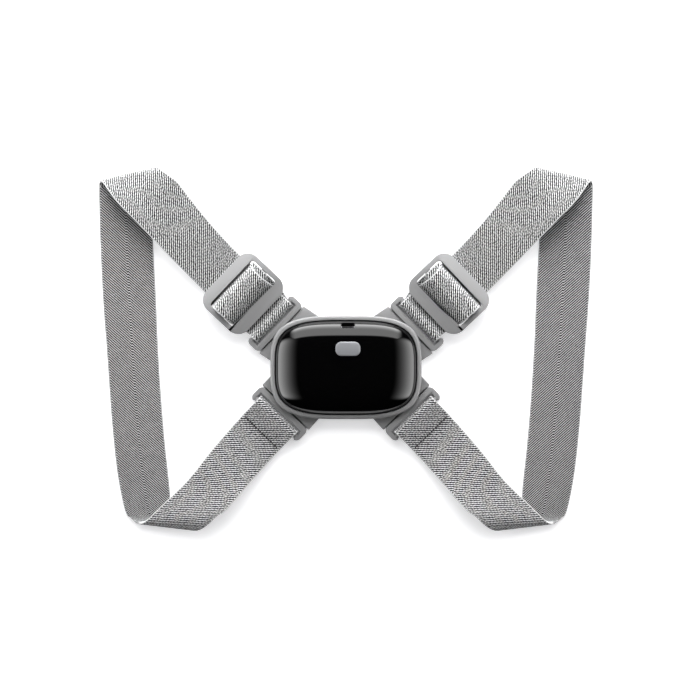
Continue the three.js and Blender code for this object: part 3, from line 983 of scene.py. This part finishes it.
class CORRECTOR_OT_pod(bpy.types.Operator):
    """Polished pod: a pillow-shaped dome with a charging port"""

    bl_idname = "corrector.pod"
    bl_label = "Pod"

    def execute(self, context):
        sizes = context.scene.corrector_pod
        half_x, half_y = POD_HIGH.x, POD_HIGH.y
        base, crown = POD_LOW.z, POD_HIGH.z
        rings = [(half_x - sizes.foot, half_y - sizes.foot, base)]
        rings.append((half_x, half_y, base + sizes.foot))
        for angle in np.linspace(math.pi / 2, DOME_END, DOME_STEPS):
            share = math.sin(angle) ** (2 / DOME_POWER)
            height = sizes.shoulder + (crown - sizes.shoulder) * math.cos(angle)
            rings.append((half_x * share, half_y * share, height))
        pod = oval_stack(rings)
        # Known fault: the pocket's cut leaves the dome whole, so a pressed button sinks into it
        middle, size = centre_and_size(BUTTON_LOW, BUTTON_HIGH)
        pocket_size = (size.x + 2 * sizes.gap, size.y + 2 * sizes.gap, 2 * sizes.pocket_depth)
        pocket = block(pocket_size, (middle.x, middle.y, crown))
        round_corners(pocket, sizes.button_radius + sizes.gap, 10)
        cut(pod, pocket)
        port_size = (sizes.port_length, 2 * sizes.port_depth, sizes.port_height)
        port = block(port_size, (middle.x, half_y, sizes.port_level))
        round_edges(port, sizes.port_height / 4, 2)
        cut(pod, port)
        smooth(pod, 30)
        material = pod_material(sizes)
        finish_piece(pod, "pod_dome", BODY, material, "pod", "pod_shell")
        return {"FINISHED"}


class CORRECTOR_OT_button(bpy.types.Operator):
    """Push button with rounded corners and a soft upper edge"""

    bl_idname = "corrector.button"
    bl_label = "Button"

    def execute(self, context):
        sizes = context.scene.corrector_pod
        middle, size = centre_and_size(BUTTON_LOW, BUTTON_HIGH)
        button = block(size, middle)
        round_corners(button, sizes.button_radius, 12)
        round_edges(button, sizes.button_edge, 4)
        smooth(button)
        grey = sizes.button_grey
        material = moulded_material("button grey", grey, roughness=0.35, bump=0.02 * MM)
        finish_piece(button, "push_button", BUTTON_BODY, material, "button", "button")
        return {"FINISHED"}


class CORRECTOR_OT_socket(bpy.types.Operator):
    """Plated look for the socket in the charging port"""

    bl_idname = "corrector.socket"
    bl_label = "Charging socket"

    def execute(self, context):
        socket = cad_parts["charging_socket"]
        socket.data.materials.clear()
        socket.data.materials.append(steel_material())
        return {"FINISHED"}


def frame_tray(sizes):
    """The rim and the back plate, as one stack of rings."""
    half_x, half_y = rim_halves(sizes)
    edge = sizes.rim_edge
    top = FRAME_TOP
    foot = sizes.web_edge
    rings = [(half_x - foot, half_y - foot, 0), (half_x, half_y, foot)]
    for sine, cosine in quarter_turn(RIM_STEPS):
        spare = sizes.rim_slope * (1 - cosine)
        rings.append((half_x - spare, half_y - spare, top - sizes.rim_drop * (1 - sine)))
    inner_x = half_x - sizes.rim_wall
    inner_y = half_y - sizes.rim_wall
    for sine, cosine in quarter_turn(RIM_STEPS - 2):
        spare = edge * (1 - sine)
        rings.append((inner_x + spare, inner_y + spare, top - edge * (1 - cosine)))
    rings.append((inner_x, inner_y, sizes.back_thickness))
    return oval_stack(rings)


def arm_web(sizes, arm, place):
    """The flat web from the rim to an arm's slot."""
    half = place_half_width(sizes)
    behind = -sizes.lip_width - sizes.groove
    ends = [place.row(behind, 0, half, half)[i][:2] for i in (0, 1)]
    first, last = arm["edges"]
    rim = [
        rim_point(sizes, angle, -sizes.rim_wall / 2) for angle in np.linspace(first, last, 15)
    ]
    corners = rim + sorted(ends, key=lambda p: np.linalg.norm(p - rim[-1]))
    web = flat_shape(corners, 0)
    bpy.ops.object.mode_set(mode="EDIT")
    bpy.ops.mesh.select_all(action="SELECT")
    bpy.ops.mesh.extrude_region_move(
        TRANSFORM_OT_translate={"value": (0, 0, sizes.web_height)}
    )
    close_shape()
    round_edges(web, sizes.web_edge, 3, 60)
    return web


def place_half_width(sizes):
    """Half the width of an arm's end, ears included."""
    strap = bpy.context.scene.corrector_strap
    return strap.width / 2 + sizes.slot_side + sizes.ear_width


def arm_end(sizes):
    """The raised lip, the ears and the outer bar, modelled along +X from the slot."""
    outer = sizes.slot_width + sizes.bar_diameter + sizes.ear_reach
    total = sizes.lip_width + outer
    width = 2 * place_half_width(sizes)
    height = sizes.lip_height
    end = block((total, width, height), (outer - total / 2, 0, height / 2))
    round_corners(end, sizes.ear_radius)
    slot_length = width - 2 * sizes.ear_width
    slot = block((2 * outer, slot_length, 3 * height), (outer, 0, height / 2))
    cut(end, slot)
    round_edges(end, sizes.lip_edge, 4)
    radius = sizes.bar_diameter / 2
    deselect()
    bpy.ops.mesh.primitive_cylinder_add(
        vertices=32,
        radius=radius,
        depth=slot_length + sizes.ear_width,
        location=(sizes.slot_width + radius, 0, height - radius),
        rotation=(math.pi / 2, 0, 0),
    )
    bar = bpy.context.active_object
    apply_place(bar)
    step = block(
        (sizes.lip_width, width - 2 * sizes.ear_radius, sizes.back_thickness),
        (-sizes.lip_width, 0, sizes.back_thickness / 2 + sizes.web_edge),
    )
    return join([end, bar, step])


class CORRECTOR_OT_frame(bpy.types.Operator):
    """Grey moulded frame: oval rim, four flat arms and their strap slots"""

    bl_idname = "corrector.frame"
    bl_label = "Frame"

    def execute(self, context):
        sizes = context.scene.corrector_frame
        shells = [frame_tray(sizes)]
        for arm in ARMS.values():
            place = slot_place(sizes, arm)
            web = arm_web(sizes, arm, place)
            end = arm_end(sizes)
            end.data.transform(place.matrix())
            shells += [web, end, mirrored_copy(web), mirrored_copy(end)]
        moulding = join(shells)
        smooth(moulding)
        material = moulded_material("frame grey", sizes.grey, roughness=0.5, bump=0.03 * MM)
        finish_piece(moulding, "frame_moulding", BODY, material, "frame", "frame")
        return {"FINISHED"}


def left_slider(scene):
    """The left slider: an arched plate with a window, and the bar across it."""
    sizes = scene.corrector_slider
    width = sizes.window_width + 2 * sizes.bar
    window_length = scene.corrector_strap.width + 2 * sizes.window_side
    span = window_length + 2 * sizes.end
    level = sizes.underside + sizes.thickness / 2
    plate = block((width, span, sizes.thickness), (0, 0, level))
    round_corners(plate, sizes.radius, 14)
    window = block((sizes.window_width, window_length, 1), (0, 0, level))
    round_corners(window, sizes.window_radius, 10)
    cut(plate, window)
    select_only(plate)
    bpy.ops.object.mode_set(mode="EDIT")
    for place in np.linspace(-width / 2, width / 2, SLIDER_SLICES)[1:-1]:
        bpy.ops.mesh.select_all(action="SELECT")
        bpy.ops.mesh.bisect(plane_co=(place, 0, level), plane_no=(1, 0, 0))
    bpy.ops.object.mode_set(mode="OBJECT")
    round_edges(plate, sizes.edge, 4, 50)
    for vertex in plate.data.vertices:
        vertex.co.z += sizes.rise * (1 - (vertex.co.x / (width / 2)) ** 2)
    centre = sizes.underside + sizes.rise + sizes.thickness / 2 - sizes.centre_drop
    bar_size = (sizes.centre_width, span - sizes.end, sizes.centre_thickness)
    bar = block(bar_size, (0, 0, centre))
    round_edges(bar, 0.45 * sizes.centre_thickness, 4)
    slider = join([plate, bar])
    place = Course(scene).adjuster
    slider.data.transform(Matrix.Translation((0, sizes.shift * place.side, 0)))
    slider.data.transform(place.matrix())
    return slider


class CORRECTOR_OT_sliders(bpy.types.Operator):
    """Arched plastic strap adjusters, one on each shoulder loop"""

    bl_idname = "corrector.sliders"
    bl_label = "Sliders"

    def execute(self, context):
        sizes = context.scene.corrector_slider
        left = left_slider(context.scene)
        smooth(left)
        material = moulded_material("slider grey", sizes.grey, roughness=0.42, bump=0.02 * MM)
        for side, slider in zip(SIDES, (left, mirrored_copy(left))):
            name = f"adjuster_{side}"
            finish_piece(slider, name, BODY, material, "slider", f"slider_{side}")
        return {"FINISHED"}


def weave_lengths(points, middles, steps):
    """Distance along the strap for each point, counted column by column.

    The count starts afresh from the middle of each run, where the rows lie square, and the
    difference is eased away in the hidden half of each fold.
    """
    travel = np.linalg.norm(np.diff(points, axis=0), axis=2)
    walked = np.vstack((np.zeros(points.shape[1]), np.cumsum(travel, axis=0)))
    centre = points.shape[1] // 2
    half_fold = steps * TURN_STEPS // 2

    def counted_from(row):
        return walked - walked[row] + walked[row, centre]

    lengths = counted_from(middles["hump"])
    over = middles["top_fold"]
    under = middles["bottom_fold"]
    for crest, start, run in ((over, over, "side"), (under, under - half_fold, "lower_slot")):
        fresh = counted_from(middles[run])
        fresh += (lengths[crest] - fresh[crest]).mean()
        share = np.clip((np.arange(len(walked)) - start) / half_fold, 0, 1)[:, None]
        lengths = lengths + share * (fresh - lengths)
    return lengths


def left_strap(scene, materials, columns=STRAP_COLUMNS, steps=STRAP_STEPS):
    """The left strap: a grid carried along its course, with its UV map in metres."""
    course = Course(scene)
    left, right = course.edges(steps)
    share = np.linspace(0, 1, columns + 1)[:, None]
    points = left[:, None] + share * (right - left)[:, None]
    lengths = weave_lengths(points, course.middle_rows(steps), steps)
    middle = points[:, columns // 2]
    whole = np.linalg.norm(np.diff(middle, axis=0), axis=1).sum()
    deselect()
    bpy.ops.mesh.primitive_grid_add(
        x_subdivisions=columns, y_subdivisions=len(left) - 1, size=1, calc_uvs=True
    )
    strap = bpy.context.active_object
    mesh = strap.data
    for vertex in mesh.vertices:
        column = round((vertex.co.x + 0.5) * columns)
        row = round((vertex.co.y + 0.5) * (len(left) - 1))
        vertex.co = points[row, column]
    for loop in mesh.uv_layers.active.data:
        column = round(loop.uv.x * columns)
        row = round(loop.uv.y * (len(left) - 1))
        loop.uv = (loop.uv.x * course.strap.width, lengths[row, column])
    for material in materials:
        mesh.materials.append(material)
    add_modifier(
        strap,
        "SOLIDIFY",
        thickness=course.strap.thickness,
        offset=0,
        material_offset=1,
        use_even_offset=False,
    )
    round_edges(strap, course.strap.edge, 2, 60)
    smooth(strap, 50)
    return strap, whole


STITCHES = 8
STITCH_SIZE = (1.8 * MM, 0.55 * MM, 0.4 * MM)  # half its length, width and height
SEAM_MARGIN = 0.07  # from the strap's edge to the seam, as a share of the strap's width
STITCH_SINK = 0.05 * MM
# Which of the strap's rows, counted from its last one, each half of the seam is looked for in
SEAM_ROWS = dict(above=(8, 16), below=(0, 3))


def stitch(place, across):
    """One stitch, lying across the strap."""
    deselect()
    bpy.ops.mesh.primitive_uv_sphere_add(
        segments=12,
        ring_count=8,
        radius=1,
        location=place,
        scale=STITCH_SIZE,
        rotation=(0, 0, math.atan2(across[1], across[0])),
    )
    piece = bpy.context.active_object
    apply_place(piece)
    return piece


def seam(scene):
    """A row of stitches across the lower end of the left strap, above and below."""
    course = Course(scene)
    left, right = course.edges(SEAM_STEPS)
    middle = (left + right) / 2
    slot = np.array((course.lower.x, course.lower.y, 0))
    distance = (middle - slot) @ course.lower.forward
    off_seam = abs(distance - course.strap.seam)
    stitches = []
    for (first, last), lift in zip(SEAM_ROWS.values(), (1, -1)):
        rows = len(middle) - 1 - np.arange(SEAM_STEPS * first, SEAM_STEPS * last)
        row = rows[off_seam[rows].argmin()]
        across = right[row] - left[row]
        for index in range(STITCHES):
            share = SEAM_MARGIN + (1 - 2 * SEAM_MARGIN) * (index + 0.5) / STITCHES
            place = left[row] + share * across
            place[2] += lift * (course.half_thickness - STITCH_SINK)
            stitches.append(stitch(place, across))
    whole = join(stitches)
    smooth(whole, 80)
    return whole


class CORRECTOR_OT_straps(bpy.types.Operator):
    """Grey twill elastic, one continuous loop on each side, with its stitches"""

    bl_idname = "corrector.straps"
    bl_label = "Straps"

    def execute(self, context):
        sizes = context.scene.corrector_strap
        # The face is paler than the back: partly the two sides' own tone, partly painted light
        # for the top run lying lit brighter
        materials = (
            webbing_material(
                "webbing face",
                sizes,
                pitch=sizes.rib_pitch,
                dashes=0.3,
                spine=0.0,
                shade=1.38,
                valley=0.4,
            ),
            webbing_material(
                "webbing back",
                sizes,
                pitch=sizes.back_pitch,
                dashes=0.06,
                spine=sizes.spine,
                shade=1.0,
                valley=0.6,
            ),
        )
        left, whole = left_strap(context.scene, materials)
        stitches = seam(context.scene)
        thread = thread_material()
        pieces = zip(SIDES, (left, mirrored_copy(left)), (stitches, mirrored_copy(stitches)))
        for side, strap, row in pieces:
            finish_piece(strap, f"webbing_{side}", BODY, None, "strap", f"strap_{side}")
            finish_piece(row, f"stitches_{side}", BODY, thread, "strap")
        return {"FINISHED"}


# Stage


# place, size: metres; strength: brightness; fade: share of the height over which the upper edge
# fades out; boost: how much brighter the lower edge is
LAMPS = (
    dict(name="top", place=(0, 0.63, 0.43), size=(1.25, 0.8), strength=4.2, fade=0.08, boost=2.5),
    dict(name="low", place=(0, 0.85, 0.1), size=(1.2, 0.15), strength=34, fade=0.3, boost=0),
    dict(name="left", place=(-1.2, 0.2, 0.95), size=(2.3, 1.9), strength=2.9, fade=0.8, boost=0),
    dict(name="right", place=(1.2, 0.2, 0.95), size=(2.3, 1.9), strength=2.9, fade=0.8, boost=0),
)
REFLECTIONS = (
    dict(name="top", place=(0, 1.25, 0.85), size=(2.5, 1.6), strength=3.6, fade=0.08, boost=2.5),
    dict(name="left", place=(-1.2, -0.1, 0.95), size=(2.3, 1.9), strength=6.5, fade=0.8, boost=0),
    dict(name="right", place=(1.2, -0.1, 0.95), size=(2.3, 1.9), strength=6, fade=0.8, boost=0),
)
END_FADE = 0.2  # share of a softbox's width over which its ends fade out
BOOST_REACH = 0.6  # how far up the brighter part of a softbox reaches
WHITE = (1.0, 1.0, 1.0, 1.0)


def softbox(name, place, size, strength, fade, boost):
    """A white glowing panel that faces the part; its upper edge and its ends fade out."""
    deselect()
    bpy.ops.mesh.primitive_plane_add(size=1)
    panel = bpy.context.active_object
    panel.name = name
    centre = Vector(place)
    turn = (-centre).to_track_quat("Z", "Y").to_matrix().to_4x4()
    panel.data.transform(Matrix.Translation(centre) @ turn @ Matrix.Diagonal((*size, 1, 1)))
    panel.visible_camera = False
    material = bpy.data.materials.new(name)
    material.use_nodes = True
    material.node_tree.nodes.clear()
    graph = Graph(material.node_tree)
    uv = graph.add("ShaderNodeUVMap", uv_map="UVMap").outputs["UV"]
    across, up, _ = graph.add("ShaderNodeSeparateXYZ", {"Vector": uv}).outputs
    upper = graph.minus(1.0, graph.ramp(up, 1 - fade, 1.0))
    from_end = graph.math("MINIMUM", across, graph.minus(1.0, across))
    glow = graph.times(upper, graph.ramp(from_end, 0.0, END_FADE))
    lower = graph.minus(1.0, graph.ramp(up, 0.0, BOOST_REACH))
    glow = graph.times(glow, graph.plus(1.0, graph.times(lower, boost)))
    glow = graph.times(glow, strength)
    light = graph.add("ShaderNodeEmission", {"Color": WHITE, "Strength": glow})
    end = graph.add("ShaderNodeOutputMaterial")
    graph.feed(end.inputs["Surface"], light.outputs["Emission"])
    panel.data.materials.append(material)
    return panel


def make_world():
    """A pale backdrop for the eye and a dim one for everything else."""
    world = bpy.data.worlds.new("studio")
    world.use_nodes = True
    world.node_tree.nodes.clear()
    graph = Graph(world.node_tree)
    seen = graph.add("ShaderNodeLightPath").outputs["Is Camera Ray"]
    tint = graph.mix(seen, (0.008, 0.008, 0.009, 1), WHITE)
    back = graph.add("ShaderNodeBackground", {"Color": tint})
    end = graph.add("ShaderNodeOutputWorld")
    graph.feed(end.inputs["Surface"], back.outputs["Background"])
    bpy.context.scene.world = world


FLOOR_SIZE = 8
FLOOR_GAP = 0.1 * MM
OPEN_SHARE = 0.4  # of the sky above a point of the floor, from which on it is fully white


def make_floor(sizes):
    """A pale floor just under the part that glows a little, with painted shade where pieces stand
    close.
    """
    deselect()
    bpy.ops.mesh.primitive_plane_add(size=FLOOR_SIZE, location=(0, 0, -FLOOR_GAP))
    floor = bpy.context.active_object
    floor.name = "floor"
    apply_place(floor)
    material, graph, shader = new_material("floor", Roughness=0.9)
    # Painted contact shadow: the floor's colour and glow turn to the floor shade where pieces
    # stand close above it
    near = graph.add("ShaderNodeAmbientOcclusion", {"Distance": sizes.contact}).outputs["AO"]
    near = graph.ramp(near, 0.0, OPEN_SHARE)
    tint = graph.mix(near, rgba(sizes.floor_shade), rgba(sizes.floor_white))
    graph.feed(shader.inputs["Base Color"], tint)
    graph.feed(shader.inputs["Emission Color"], tint)
    shader.inputs["Specular IOR Level"].default_value = 0.0
    shader.inputs["Emission Strength"].default_value = sizes.floor_glow
    floor.data.materials.append(material)


def make_camera(sizes):
    """A long lens straight above the part."""
    data = bpy.data.cameras.new("camera")
    data.sensor_width = 36
    data.lens = data.sensor_width * sizes.camera_height / sizes.picture_width
    camera = bpy.data.objects.new("camera", data)
    camera.location = (sizes.camera_x, sizes.camera_y, sizes.camera_height)
    bpy.context.collection.objects.link(camera)
    bpy.context.scene.camera = camera


class CORRECTOR_OT_stage(bpy.types.Operator):
    """Pale floor, softboxes above and at both sides, and the camera overhead"""

    bl_idname = "corrector.stage"
    bl_label = "Stage"

    def execute(self, context):
        sizes = context.scene.corrector_stage
        context.scene.view_settings.view_transform = "Standard"
        make_world()
        make_floor(sizes)
        make_camera(sizes)
        for lamp in LAMPS:
            panel = softbox(**{**lamp, "name": f"{lamp['name']} lamp"})
            panel.visible_glossy = False
        for reflection in REFLECTIONS:
            panel = softbox(**{**reflection, "name": f"{reflection['name']} reflection"})
            panel.visible_diffuse = False
        return {"FINISHED"}


# Panel and registration


class CORRECTOR_PT_build(bpy.types.Panel):
    """Buttons that build the corrector piece by piece"""

    bl_idname = "CORRECTOR_PT_build"
    bl_label = "Posture corrector"
    bl_space_type = "VIEW_3D"
    bl_region_type = "UI"
    bl_category = "Corrector"

    def draw(self, context):
        for operator in OPERATORS:
            self.layout.operator(operator.bl_idname)


OPERATORS = (
    CORRECTOR_OT_stage,
    CORRECTOR_OT_pod,
    CORRECTOR_OT_button,
    CORRECTOR_OT_socket,
    CORRECTOR_OT_frame,
    CORRECTOR_OT_sliders,
    CORRECTOR_OT_straps,
)
SETTINGS = {
    "corrector_pod": PodSettings,
    "corrector_frame": FrameSettings,
    "corrector_slider": SliderSettings,
    "corrector_strap": StrapSettings,
    "corrector_stage": StageSettings,
}


def register():
    """Registers the settings, the operators and the panel."""
    for name, group in SETTINGS.items():
        bpy.utils.register_class(group)
        setattr(bpy.types.Scene, name, PointerProperty(type=group))
    for operator in OPERATORS:
        bpy.utils.register_class(operator)
    bpy.utils.register_class(CORRECTOR_PT_build)


def unregister():
    """Removes what register added."""
    bpy.utils.unregister_class(CORRECTOR_PT_build)
    for operator in reversed(OPERATORS):
        bpy.utils.unregister_class(operator)
    for name, group in reversed(SETTINGS.items()):
        delattr(bpy.types.Scene, name)
        bpy.utils.unregister_class(group)


def main():
    """Builds everything in order."""
    register()
    bpy.ops.corrector.stage()
    bpy.ops.corrector.pod()
    bpy.ops.corrector.button()
    bpy.ops.corrector.socket()
    bpy.ops.corrector.frame()
    bpy.ops.corrector.sliders()
    bpy.ops.corrector.straps()


if __name__ == "__main__":
    main()
